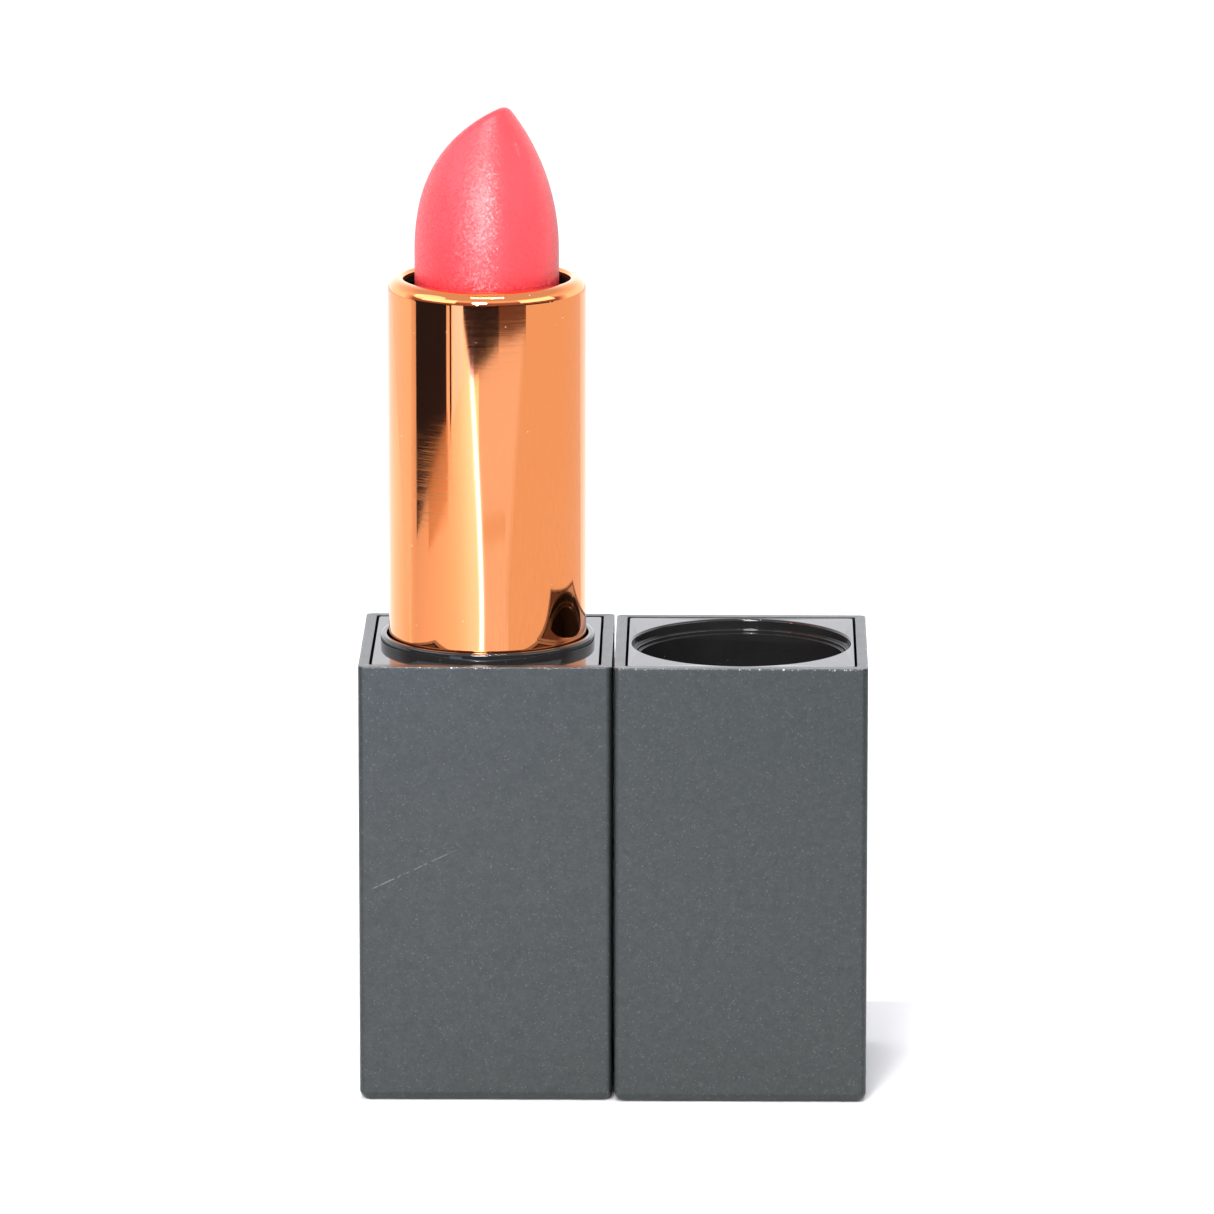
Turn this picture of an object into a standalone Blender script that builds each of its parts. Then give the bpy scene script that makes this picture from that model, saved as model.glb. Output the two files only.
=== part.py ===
"""A square lipstick case, standing open: the base with its bullet wound out, and the cap beside it, mouth up.

The origin is the centre of the base's underside, and +Z is the tube's axis. The front faces -Y.
At rest the bullet is fully out, which is the zero of the twist joint and of the cup's slide.
"""

import math

import bmesh
import bpy
from mathutils import Matrix, Vector

MM = 0.001

# Case: both halves share these.
CASE_WIDTH = 21.0 * MM
CASE_HEIGHT = 37.05 * MM
SHELL_WALL = 0.9 * MM
SHELL_FLOOR = 1.0 * MM
SHELL_CORNER = 0.5 * MM
FOOT_ROUND_HEIGHT = 0.85 * MM
FOOT_ROUND_INSET = 0.6 * MM
CAVITY_CORNER = 0.3 * MM
EDGE_BREAK = 0.08 * MM
CAP_CENTRE = (21.2 * MM, -0.35 * MM)

# Black mouldings inside the shells.
INSERT_GAP = 0.2 * MM
INSERT_DROP = 0.06 * MM
INSERT_CORNER = 0.25 * MM
PLATE_THICK = 4.4 * MM
SLEEVE_RADIUS = 9.2 * MM
SLEEVE_BOTTOM = 1.3 * MM

# Collar and the sockets below it.
COLLAR_RADIUS = 8.95 * MM
COLLAR_BORE = 8.43 * MM
COLLAR_HEIGHT = 0.8 * MM
SOCKET_SHELF = 35.2 * MM
SOCKET_BORE = 7.7 * MM
SOCKET_BOTTOM = 27.2 * MM
WEIGHT_CHAMBER_TOP = 25.8 * MM
WEIGHT_CHAMBER_BORE = 8.3 * MM
WEB_HOLE = 3.0 * MM

# Cap bore, from its mouth down.
MOUTH_RADIUS = 9.12 * MM
MOUTH_DEPTH = 0.85 * MM
LEDGE_RADIUS = 8.8 * MM
LEDGE_DEPTH = 1.15 * MM
BORE_RADIUS = 8.6 * MM
BORE_FLOOR = 3.0 * MM

# Closure magnets.
MAGNET_RADIUS = 1.2 * MM
MAGNET_HEIGHT = 3.0 * MM
MAGNET_OFFSET = 7.75 * MM
MAGNET_BOTTOM = 33.2 * MM
POCKET_RADIUS = 1.3 * MM
POCKET_TOP = 36.4 * MM

# Weight and label.
WEIGHT_RADIUS = 8.1 * MM
WEIGHT_BOTTOM = 1.4 * MM
WEIGHT_TOP = 9.4 * MM
WEIGHT_CHAMFER = 0.5 * MM
LABEL_RECESS_HALF = 6.5 * MM
LABEL_RECESS_DEPTH = 0.3 * MM
LABEL_HALF = 6.3 * MM
LABEL_CORNER = 0.8 * MM
LABEL_THICK = 0.2 * MM

# Metal tube.
TUBE_RADIUS = 8.25 * MM
TUBE_WALL = 0.32 * MM
TUBE_FOOT = 35.5 * MM
TUBE_TOP = 67.95 * MM
RIM_ROUND = 1.05 * MM
RIM_OPENING = 6.92 * MM
RIM_LIP = TUBE_RADIUS - RIM_ROUND - RIM_OPENING
RIM_CURL_DEPTH = 0.9 * MM

# Twist mechanism.
SLEEVE_OUTER = 7.85 * MM
SLEEVE_INNER = 7.1 * MM
CAM_BOTTOM = 35.6 * MM
CAM_TOP = 66.3 * MM
CAM_COUNTERBORE = 7.62 * MM
CAM_COUNTERBORE_TOP = 36.8 * MM
GUIDE_OUTER = 6.95 * MM
GUIDE_INNER = 6.6 * MM
GUIDE_TOP = 66.0 * MM
GUIDE_FOOT_RADIUS = 7.6 * MM
GUIDE_FOOT_BOTTOM = 27.5 * MM
GUIDE_FOOT_TOP = 35.3 * MM
GUIDE_FOOT_BORE = 6.0 * MM
SLOT_WIDTH = 2.0 * MM
SLOT_MARGIN = 0.3 * MM
TORQUE_RING_RADIUS = 7.27 * MM
TORQUE_RING_SECTION = 0.24 * MM
TORQUE_RING_HEIGHT = 36.05 * MM

# Travel: the two-start cam lifts the lugs by one lead in a full turn.
TRAVEL = 18.0 * MM
TWIST_TURNS = 1.25
CAM_LEAD = TRAVEL / TWIST_TURNS
GROOVE_RADIUS = 7.55 * MM
GROOVE_HEIGHT = 2.1 * MM
GROOVE_MARGIN_STEPS = 1

# Cup, lugs and bullet.
CUP_OUTER = 6.5 * MM
CUP_INNER = 6.08 * MM
CUP_BOTTOM = 57.1 * MM
CUP_TOP = 66.6 * MM
CUP_FLOOR = 0.6 * MM
LUG_RADIUS = 0.75 * MM
LUG_REACH = 7.4 * MM
LUG_HEIGHT = 58.7 * MM
BULLET_RADIUS = 6.0 * MM
BULLET_BOTTOM = 57.95 * MM
BULLET_TIP = 82.3 * MM
OGIVE_RADIUS = 19.2 * MM
OGIVE_START = 12.1 * MM
CUT_CENTRE = (9.1 * MM, -14.2 * MM)
CUT_RADIUS = 16.15 * MM
CUT_TURN = math.radians(20)
CUT_BLEND = 0.45 * MM
TIP_OFFSET = 1.55 * MM

# Facets.
SEGMENTS = 48
CORNER_STEPS = 4
FOOT_STEPS = 3
BULLET_RINGS = 14
CLEAR = 5.0 * MM

CHARCOAL = ("charcoal_lacquer", (0.12, 0.13, 0.13, 1.0), 0.45, 0.6)
BLACK_GLOSS = ("black_moulding", (0.012, 0.012, 0.012, 1.0), 0.12, 0.0)
ROSE_GOLD = ("rose_gold", (0.95, 0.52, 0.30, 1.0), 0.08, 1.0)
CORAL = ("coral_lipstick", (1.0, 0.17, 0.19, 1.0), 0.38, 0.0)
WHITE_PLASTIC = ("white_moulding", (0.8, 0.8, 0.78, 1.0), 0.4, 0.0)
SILICONE = ("ring_rubber", (0.05, 0.05, 0.05, 1.0), 0.7, 0.0)
STEEL = ("bare_steel", (0.55, 0.55, 0.56, 1.0), 0.35, 1.0)
NICKEL = ("nickel_plate", (0.66, 0.66, 0.67, 1.0), 0.2, 1.0)
LABEL_FILM = ("label_film", (0.82, 0.82, 0.82, 1.0), 0.5, 0.0)


def clear_scene():
    for obj in list(bpy.data.objects):
        bpy.data.objects.remove(obj)


def material(finish):
    name, colour, roughness, metallic = finish
    found = bpy.data.materials.get(name)
    if found:
        return found
    made = bpy.data.materials.new(name)
    made.use_nodes = True
    shader = made.node_tree.nodes["Principled BSDF"]
    shader.inputs["Base Color"].default_value = colour
    shader.inputs["Roughness"].default_value = roughness
    shader.inputs["Metallic"].default_value = metallic
    return made


def object_from(name, mesh_data, finish):
    """A linked object from a bmesh, with outward faces and its own finish."""
    bmesh.ops.recalc_face_normals(mesh_data, faces=mesh_data.faces)
    mesh = bpy.data.meshes.new(name)
    mesh_data.to_mesh(mesh)
    mesh_data.free()
    mesh.shade_smooth()
    mesh.set_sharp_from_angle(angle=math.radians(35))
    obj = bpy.data.objects.new(name, mesh)
    bpy.context.scene.collection.objects.link(obj)
    if finish:
        mesh.materials.append(material(finish))
    return obj


def loft(name, rings, finish=None, tubular=False):
    """A solid skinned over rings of points. A tubular one joins its last ring to its first."""
    mesh_data = bmesh.new()
    rows = [[mesh_data.verts.new(point) for point in ring] for ring in rings]
    pairs = list(zip(rows, rows[1:]))
    if tubular:
        pairs.append((rows[-1], rows[0]))
    else:
        mesh_data.faces.new(rows[0])
        mesh_data.faces.new(rows[-1])
    for lower, upper in pairs:
        for i in range(len(lower)):
            j = (i + 1) % len(lower)
            mesh_data.faces.new((lower[i], lower[j], upper[j], upper[i]))
    return object_from(name, mesh_data, finish)


def circle(radius, height, centre=(0.0, 0.0), segments=SEGMENTS):
    angles = [math.tau * i / segments for i in range(segments)]
    return [
        Vector((centre[0] + radius * math.cos(a), centre[1] + radius * math.sin(a), height))
        for a in angles
    ]


def rounded_square(half, height, corner, centre=(0.0, 0.0)):
    """A square outline with round corners, counterclockwise from above."""
    points = []
    for quarter in range(4):
        for step in range(CORNER_STEPS + 1):
            angle = (quarter + step / CORNER_STEPS) * math.pi / 2
            middle = quarter * math.pi / 2 + math.pi / 4
            x = math.copysign(half - corner, math.cos(middle)) + corner * math.cos(angle)
            y = math.copysign(half - corner, math.sin(middle)) + corner * math.sin(angle)
            points.append(Vector((centre[0] + x, centre[1] + y, height)))
    return points


def turned(name, profile, finish=None, tubular=False, centre=(0.0, 0.0), segments=SEGMENTS):
    """A turned solid from (radius, height) points."""
    rings = [circle(radius, height, centre, segments) for radius, height in profile]
    return loft(name, rings, finish, tubular)


def arc(centre, radius, start, end, steps):
    """(radius, height) points along an arc, with its angles in degrees."""
    angles = [math.radians(start + (end - start) * i / steps) for i in range(steps + 1)]
    return [(centre[0] + radius * math.cos(a), centre[1] + radius * math.sin(a)) for a in angles]


def combine(target, tool, operation):
    """Joins or cuts with a hidden tool object."""
    tool.hide_render = True
    tool.display_type = "WIRE"
    modifier = target.modifiers.new(operation.lower() + "_" + tool.name, "BOOLEAN")
    modifier.operation = operation
    modifier.solver = "EXACT"
    modifier.object = tool


def box(name, size, centre):
    mesh_data = bmesh.new()
    bmesh.ops.create_cube(mesh_data, size=1.0)
    bmesh.ops.scale(mesh_data, vec=size, verts=mesh_data.verts)
    bmesh.ops.translate(mesh_data, vec=centre, verts=mesh_data.verts)
    return object_from(name, mesh_data, None)


def case_shell(name, centre, has_label_recess):
    """A square cup with a rounded foot, walls of one thickness and broken top edges."""
    half = CASE_WIDTH / 2
    cavity = half - SHELL_WALL
    rings = []
    if has_label_recess:
        for height in (LABEL_RECESS_DEPTH, 0.0):
            rings.append(rounded_square(LABEL_RECESS_HALF, height, LABEL_CORNER, centre))
    for step in range(FOOT_STEPS + 1):
        angle = math.pi / 2 * step / FOOT_STEPS
        foot_half = half - FOOT_ROUND_INSET * (1 - math.sin(angle))
        height = FOOT_ROUND_HEIGHT * (1 - math.cos(angle))
        rings.append(rounded_square(foot_half, height, SHELL_CORNER, centre))
    rim = CASE_HEIGHT - EDGE_BREAK
    rings.append(rounded_square(half, rim, SHELL_CORNER, centre))
    rings.append(rounded_square(half - EDGE_BREAK, CASE_HEIGHT, SHELL_CORNER, centre))
    rings.append(rounded_square(cavity + EDGE_BREAK, CASE_HEIGHT, CAVITY_CORNER, centre))
    rings.append(rounded_square(cavity, rim, CAVITY_CORNER, centre))
    rings.append(rounded_square(cavity, SHELL_FLOOR, CAVITY_CORNER, centre))
    return loft(name, rings, CHARCOAL)


def plate_half():
    return CASE_WIDTH / 2 - SHELL_WALL - INSERT_GAP


def plate_top():
    return CASE_HEIGHT - INSERT_DROP


def mouth_plate(name, centre):
    """The flush square plate of a black moulding."""
    half = plate_half()
    top = plate_top()
    rings = [
        rounded_square(half, top - PLATE_THICK, INSERT_CORNER, centre),
        rounded_square(half, top - EDGE_BREAK, INSERT_CORNER, centre),
        rounded_square(half - EDGE_BREAK, top, INSERT_CORNER, centre),
    ]
    return loft(name, rings, BLACK_GLOSS)


def cut_magnet_pockets(moulding, prefix, centre):
    """Four blind pockets that open downward in the corners of the plate."""
    for number, spot in enumerate(magnet_spots(centre), start=1):
        profile = [(POCKET_RADIUS, plate_top() - PLATE_THICK - CLEAR), (POCKET_RADIUS, POCKET_TOP)]
        pocket = turned(f"{prefix}_pocket_{number}", profile, centre=spot, segments=16)
        combine(moulding, pocket, "DIFFERENCE")


def magnet_spots(centre):
    return [
        (centre[0] + sx * MAGNET_OFFSET, centre[1] + sy * MAGNET_OFFSET)
        for sx, sy in ((1, 1), (-1, 1), (-1, -1), (1, -1))
    ]


def magnets(prefix, centre):
    profile = [(MAGNET_RADIUS, MAGNET_BOTTOM), (MAGNET_RADIUS, MAGNET_BOTTOM + MAGNET_HEIGHT)]
    return [
        turned(f"{prefix}_magnet_{number}", profile, NICKEL, centre=spot, segments=16)
        for number, spot in enumerate(magnet_spots(centre), start=1)
    ]


def base_insert():
    """Square plate, raised collar and a sleeve that holds the mechanism above and the weight below."""
    top = plate_top()
    insert = mouth_plate("base_insert", (0.0, 0.0))
    sleeve = turned(
        "insert_sleeve",
        [(SLEEVE_RADIUS, SLEEVE_BOTTOM), (SLEEVE_RADIUS, top - PLATE_THICK / 2)],
    )
    collar_top = top + COLLAR_HEIGHT
    collar = turned(
        "insert_collar",
        [
            (COLLAR_RADIUS, top - PLATE_THICK / 2),
            (COLLAR_RADIUS, collar_top - EDGE_BREAK),
            (COLLAR_RADIUS - EDGE_BREAK, collar_top),
        ],
    )
    socket = turned(
        "insert_socket",
        [
            (SOCKET_BORE, SOCKET_BOTTOM),
            (SOCKET_BORE, SOCKET_SHELF),
            (COLLAR_BORE, SOCKET_SHELF),
            (COLLAR_BORE, collar_top + CLEAR),
        ],
    )
    chamber = turned(
        "insert_chamber",
        [(WEIGHT_CHAMBER_BORE, SLEEVE_BOTTOM - CLEAR), (WEIGHT_CHAMBER_BORE, WEIGHT_CHAMBER_TOP)],
    )
    web_hole = turned(
        "insert_web_hole",
        [(WEB_HOLE, WEIGHT_CHAMBER_TOP - CLEAR), (WEB_HOLE, SOCKET_BOTTOM + CLEAR)],
        segments=24,
    )
    combine(insert, sleeve, "UNION")
    combine(insert, collar, "UNION")
    combine(insert, socket, "DIFFERENCE")
    combine(insert, chamber, "DIFFERENCE")
    combine(insert, web_hole, "DIFFERENCE")
    cut_magnet_pockets(insert, "base", (0.0, 0.0))
    return insert


def cap_liner():
    """Square plate and a closed sleeve, with a stepped round mouth that passes the collar and the tube."""
    top = plate_top()
    liner = mouth_plate("cap_liner", CAP_CENTRE)
    sleeve = turned(
        "liner_sleeve",
        [(SLEEVE_RADIUS, SLEEVE_BOTTOM), (SLEEVE_RADIUS, top - PLATE_THICK / 2)],
        centre=CAP_CENTRE,
    )
    bore = turned(
        "liner_bore",
        [
            (BORE_RADIUS, BORE_FLOOR),
            (BORE_RADIUS, top - LEDGE_DEPTH - 0.2 * MM),
            (LEDGE_RADIUS, top - LEDGE_DEPTH),
            (LEDGE_RADIUS, top - MOUTH_DEPTH),
            (MOUTH_RADIUS, top - MOUTH_DEPTH),
            (MOUTH_RADIUS, top + CLEAR),
        ],
        centre=CAP_CENTRE,
    )
    combine(liner, sleeve, "UNION")
    combine(liner, bore, "DIFFERENCE")
    cut_magnet_pockets(liner, "cap", CAP_CENTRE)
    return liner


def base_weight():
    rim = WEIGHT_RADIUS - WEIGHT_CHAMFER
    profile = [
        (rim, WEIGHT_BOTTOM),
        (WEIGHT_RADIUS, WEIGHT_BOTTOM + WEIGHT_CHAMFER),
        (WEIGHT_RADIUS, WEIGHT_TOP - WEIGHT_CHAMFER),
        (rim, WEIGHT_TOP),
    ]
    return turned("base_weight", profile, STEEL)


def shade_label():
    """A blank label that fills its recess, flush with the underside."""
    rings = [rounded_square(LABEL_HALF, z, LABEL_CORNER) for z in (0.0, LABEL_THICK)]
    return loft("shade_label", rings, LABEL_FILM)


def tube():
    """A drawn metal tube whose top edge rolls inward and down."""
    crest = TUBE_RADIUS - RIM_ROUND
    profile = [(TUBE_RADIUS, TUBE_FOOT)]
    profile += arc((crest, TUBE_TOP - RIM_ROUND), RIM_ROUND, 0, 90, 4)
    profile += arc((crest, TUBE_TOP - RIM_LIP), RIM_LIP, 90, 180, 2)[1:]
    profile.append((RIM_OPENING, TUBE_TOP - RIM_CURL_DEPTH))
    profile.append((crest, TUBE_TOP - RIM_CURL_DEPTH))
    profile += arc((crest, TUBE_TOP - RIM_ROUND), RIM_ROUND - TUBE_WALL, 90, 0, 3)
    profile.append((TUBE_RADIUS - TUBE_WALL, TUBE_FOOT))
    return turned("tube", profile, ROSE_GOLD, tubular=True)


def helical_cutter(name, start_angle):
    """One groove of the cam: a square-section strip that climbs at the cam's lead as its angle grows.

    At its own start angle the strip is at the wound-out height of the lugs. Its corners fall between
    those of the sleeve, so that no cut runs along a facet's edge.
    """
    step = math.tau / SEGMENTS
    twist_steps = round(TWIST_TURNS * SEGMENTS)
    inner = SLEEVE_INNER - 0.3 * MM
    rings = []
    for i in range(-twist_steps - GROOVE_MARGIN_STEPS - 1, GROOVE_MARGIN_STEPS + 1):
        turn = (i + 0.5) * step
        angle = start_angle + turn
        middle = LUG_HEIGHT + CAM_LEAD * turn / math.tau
        low = middle - GROOVE_HEIGHT / 2
        high = middle + GROOVE_HEIGHT / 2
        across = Vector((math.cos(angle), math.sin(angle), 0.0))
        up = Vector((0.0, 0.0, 1.0))
        rings.append(
            [
                across * inner + up * low,
                across * GROOVE_RADIUS + up * low,
                across * GROOVE_RADIUS + up * high,
                across * inner + up * high,
            ]
        )
    return loft(name, rings)


def spiral_sleeve():
    """The cam sleeve: fixed in the metal tube, it turns round the guide tube and drives the lugs."""
    profile = [
        (SLEEVE_OUTER, CAM_BOTTOM),
        (SLEEVE_OUTER, CAM_TOP),
        (SLEEVE_INNER, CAM_TOP),
        (SLEEVE_INNER, CAM_COUNTERBORE_TOP),
        (CAM_COUNTERBORE, CAM_COUNTERBORE_TOP),
        (CAM_COUNTERBORE, CAM_BOTTOM),
    ]
    sleeve = turned("spiral_sleeve", profile, WHITE_PLASTIC, tubular=True)
    for number, start_angle in enumerate((0.0, math.pi), start=1):
        combine(sleeve, helical_cutter(f"groove_{number}", start_angle), "DIFFERENCE")
    return sleeve


def inner_body():
    """The guide tube: its foot sits in the insert's socket, and its two slots keep the cup from turning."""
    profile = [
        (GUIDE_FOOT_RADIUS, GUIDE_FOOT_BOTTOM),
        (GUIDE_FOOT_RADIUS, GUIDE_FOOT_TOP),
        (GUIDE_OUTER, GUIDE_FOOT_TOP),
        (GUIDE_OUTER, GUIDE_TOP),
        (GUIDE_INNER, GUIDE_TOP),
        (GUIDE_INNER, GUIDE_FOOT_TOP),
        (GUIDE_FOOT_BORE, GUIDE_FOOT_TOP),
        (GUIDE_FOOT_BORE, GUIDE_FOOT_BOTTOM),
    ]
    guide = turned("inner_body", profile, BLACK_GLOSS, tubular=True)
    reach = LUG_RADIUS + SLOT_MARGIN
    height = TRAVEL + 2 * reach
    middle = LUG_HEIGHT - TRAVEL / 2
    slots = box("guide_slots", (4 * GUIDE_OUTER, SLOT_WIDTH, height), (0.0, 0.0, middle))
    combine(guide, slots, "DIFFERENCE")
    return guide


def torque_ring():
    centre = (TORQUE_RING_RADIUS, TORQUE_RING_HEIGHT)
    profile = arc(centre, TORQUE_RING_SECTION, 0, 300, 5)
    return turned("torque_ring", profile, SILICONE, tubular=True)


def bullet_cup():
    """The carrier cup, with two round lugs that reach through the slots into the grooves."""
    profile = [
        (CUP_OUTER, CUP_BOTTOM),
        (CUP_OUTER, CUP_TOP),
        (CUP_INNER, CUP_TOP),
        (CUP_INNER, CUP_BOTTOM + CUP_FLOOR),
    ]
    cup = turned("bullet_cup", profile, BLACK_GLOSS)
    for name, side in (("right_lug", 1), ("left_lug", -1)):
        rings = []
        for reach in (CUP_OUTER - 0.2 * MM, LUG_REACH):
            ring = circle(LUG_RADIUS, 0.0, segments=16)
            rings.append([Vector((side * reach, p.x, LUG_HEIGHT + p.y)) for p in ring])
        combine(cup, loft(name, rings), "UNION")
    return cup


def smooth_max(a, b, blend):
    overlap = max(blend - abs(a - b), 0.0) / blend
    return max(a, b) + overlap * overlap * blend / 4


def bullet_distance(point):
    """Signed distance to the bullet: an ogive on a cylinder, cut by a slanted face that bulges a little.

    Heights are measured from the tip. The slanted face is turned a little towards the back.
    """
    radius = math.hypot(point.x, point.y)
    above = point.z - BULLET_TIP
    if above > -OGIVE_START:
        ogive = math.hypot(radius - BULLET_RADIUS + OGIVE_RADIUS, above + OGIVE_START) - OGIVE_RADIUS
    else:
        ogive = radius - BULLET_RADIUS
    along = point.x * math.cos(CUT_TURN) - point.y * math.sin(CUT_TURN)
    cut = math.hypot(along - CUT_CENTRE[0], above - CUT_CENTRE[1]) - CUT_RADIUS
    return smooth_max(ogive, cut, CUT_BLEND)


def bullet_point(core, direction):
    """Where the ray from the core leaves the bullet, by bisection."""
    near, far = 0.0, 4 * BULLET_RADIUS
    for _ in range(40):
        middle = (near + far) / 2
        if bullet_distance(core + direction * middle) < 0:
            near = middle
        else:
            far = middle
    return core + direction * near


def lipstick_bullet():
    """Rings up the straight stem, then rings of rays that close in on the tip."""
    stem_top = BULLET_TIP - OGIVE_START
    core = Vector((0.0, 0.0, stem_top))
    to_tip = (Vector((TIP_OFFSET, 0.0, BULLET_TIP)) - core).normalized()
    foot = BULLET_RADIUS - 2 * EDGE_BREAK
    rings = [circle(foot, BULLET_BOTTOM), circle(BULLET_RADIUS, BULLET_BOTTOM + 2 * EDGE_BREAK)]
    for step in range(BULLET_RINGS):
        turn = math.sin(step / BULLET_RINGS * math.pi / 2)
        outward = circle(1.0 - turn, 0.0)
        rings.append([bullet_point(core, (out + to_tip * turn).normalized()) for out in outward])
    return loft("lipstick_bullet", rings, CORAL)


def hold(name, centre, pieces):
    """Parents the pieces of one moving body to an empty on its joint's axis."""
    axis = bpy.data.objects.new(name, None)
    axis.location = (centre[0], centre[1], 0.0)
    bpy.context.scene.collection.objects.link(axis)
    for piece in pieces:
        piece.parent = axis
        piece.matrix_parent_inverse = Matrix.Translation(-axis.location)


def main():
    clear_scene()
    case_shell("base_shell", (0.0, 0.0), has_label_recess=True)
    base_insert()
    base_weight()
    shade_label()
    magnets("base", (0.0, 0.0))
    inner_body()
    torque_ring()
    hold("tube_axis", (0.0, 0.0), [tube(), spiral_sleeve()])
    hold("cup_axis", (0.0, 0.0), [bullet_cup(), lipstick_bullet()])
    cap_pieces = [case_shell("cap_shell", CAP_CENTRE, has_label_recess=False), cap_liner()]
    hold("cap_axis", CAP_CENTRE, cap_pieces + magnets("cap", CAP_CENTRE))


main()
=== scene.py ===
"""The finished look of the square lipstick case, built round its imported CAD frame.

The CAD nodes fix every size and place. The nodes that show are replaced by finer surfaces in the same place,
the ones inside keep their CAD meshes, and every piece gets a procedural material. Lengths below are in
millimetres. Surfaces are built in millimetres and scaled to metres when they are finished.
"""

import math

import bmesh
import bpy
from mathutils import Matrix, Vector


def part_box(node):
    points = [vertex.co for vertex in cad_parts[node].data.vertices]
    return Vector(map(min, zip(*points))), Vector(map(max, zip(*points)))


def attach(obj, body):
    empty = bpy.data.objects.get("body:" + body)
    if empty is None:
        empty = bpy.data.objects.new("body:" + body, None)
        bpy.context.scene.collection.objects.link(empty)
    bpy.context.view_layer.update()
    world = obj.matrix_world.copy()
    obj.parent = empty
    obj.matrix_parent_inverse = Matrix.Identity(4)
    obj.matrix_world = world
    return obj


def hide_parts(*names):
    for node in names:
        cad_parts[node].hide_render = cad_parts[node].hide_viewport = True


MM = 0.001

# Shells: a broken top edge, a cavity for the moulding, and a foot that turns in under a crisp line.
SHELL_WALL = 0.9
SHELL_FLOOR = 1.0
SHELL_CORNER = 0.5
CAVITY_CORNER = 0.3
RIM_EDGE = 0.09
CAVITY_EDGE = 0.05
WEAR_DEPTH = 0.3
CAVITY_WEAR = 0.3
FOOT_INSET = 0.6
FOOT_HEIGHT = 0.76
FOOT_BREAK = 30
LABEL_RECESS_HALF = 6.5
LABEL_RECESS_DEPTH = 0.3
LABEL_CORNER = 0.8

# Black mouldings: a flush plate, with a sleeve below it and magnet pockets in its corners.
PLATE_DROP = 0.06
PLATE_THICK = 4.4
PLATE_CORNER = 0.25
PLATE_EDGE = 0.06
SLEEVE_RADIUS = 9.2
SLEEVE_BOTTOM = 1.3
POCKET_RADIUS = 1.3
POCKET_TOP = 36.4
POCKET_OFFSET = 7.75
COLLAR_RADIUS = 8.95
COLLAR_BORE = 8.43
COLLAR_EDGE = 0.2
SOCKET_SHELF = 35.2
SOCKET_BORE = 7.7
SOCKET_BOTTOM = 27.2
CHAMBER_TOP = 25.8
CHAMBER_BORE = 8.3
WEB_HOLE = 3.0
MOUTH_RADIUS = 9.12
MOUTH_LIP = 0.2
MOUTH_DEPTH = 0.85
LEDGE_RADIUS = 8.8
LEDGE_EDGE = 0.07
LEDGE_DEPTH = 1.15
BORE_RADIUS = 8.6
BORE_FLOOR = 3.0
BORE_ROUND = 0.6

# Metal tube with an edge that rolls inward and down.
TUBE_WALL = 0.32
RIM_ROUND = 1.05
RIM_OPENING = 6.92
CURL_DEPTH = 0.9
FOOT_EDGE = 0.05

# Bullet: an ogive on a cylinder, cut by a slanted face that bulges a little. The start of the ogive and the
# centre of the cut are measured from the tip, which is a height from the floor.
BULLET_TIP = 82.3
OGIVE_RADIUS = 19.2
OGIVE_START = 12.1
CUT_CENTRE = (9.1, -14.2)
CUT_RADIUS = 16.15
CUT_TURN = math.radians(20)
CUT_BLEND = 0.75
TIP_OFFSET = 1.55
BULLET_FOOT_EDGE = 0.16

# Facets.
TURNED_SEGMENTS = 160
POCKET_SEGMENTS = 24
CORNER_STEPS = 8
EDGE_STEPS = 4
FOOT_STEPS = 8
MOUTH_STEPS = 6
RIM_STEPS = 14
LIP_STEPS = 6
CURL_STEPS = 8
BULLET_SEGMENTS = 128
BULLET_RINGS = 56
BISECTIONS = 40
SHARP_ANGLE = math.radians(28)
FACE_AREA_WEIGHT = 100

# Camera: a long lens, a little above the case and a little to its right.
CAMERA_TARGET = (9.976, 0.0, 39.889)
CAMERA_DISTANCE = 858.5
CAMERA_AZIMUTH = 0.741
CAMERA_ELEVATION = 12.27
CAMERA_LENS = 304.7
CAMERA_SENSOR = 36.0
CAMERA_NEAR = 10.0
CAMERA_FAR = 10000.0


# ---------------------------------------------------------------- surfaces


def arc(centre, radius, start, end, steps=EDGE_STEPS):
    """(radius, height) points along an arc, with its angles in degrees."""
    angles = [math.radians(start + (end - start) * i / steps) for i in range(steps + 1)]
    return [(centre[0] + radius * math.cos(a), centre[1] + radius * math.sin(a)) for a in angles]


def circle(radius, height, centre=(0.0, 0.0), segments=TURNED_SEGMENTS):
    """Points round a level circle, counterclockwise from above."""
    angles = [math.tau * i / segments for i in range(segments)]
    return [
        Vector((centre[0] + radius * math.cos(a), centre[1] + radius * math.sin(a), height))
        for a in angles
    ]


def rounded_square(half, height, corner, centre=(0.0, 0.0)):
    """A square outline with round corners, counterclockwise from above."""
    points = []
    for quarter in range(4):
        middle = (quarter + 0.5) * math.pi / 2
        for step in range(CORNER_STEPS + 1):
            angle = (quarter + step / CORNER_STEPS) * math.pi / 2
            x = math.copysign(half - corner, math.cos(middle)) + corner * math.cos(angle)
            y = math.copysign(half - corner, math.sin(middle)) + corner * math.sin(angle)
            points.append(Vector((centre[0] + x, centre[1] + y, height)))
    return points


def put(name, mesh, material):
    """A new object in the scene with one material."""
    mesh.materials.append(material)
    made = bpy.data.objects.new(name, mesh)
    bpy.context.scene.collection.objects.link(made)
    return made


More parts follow.
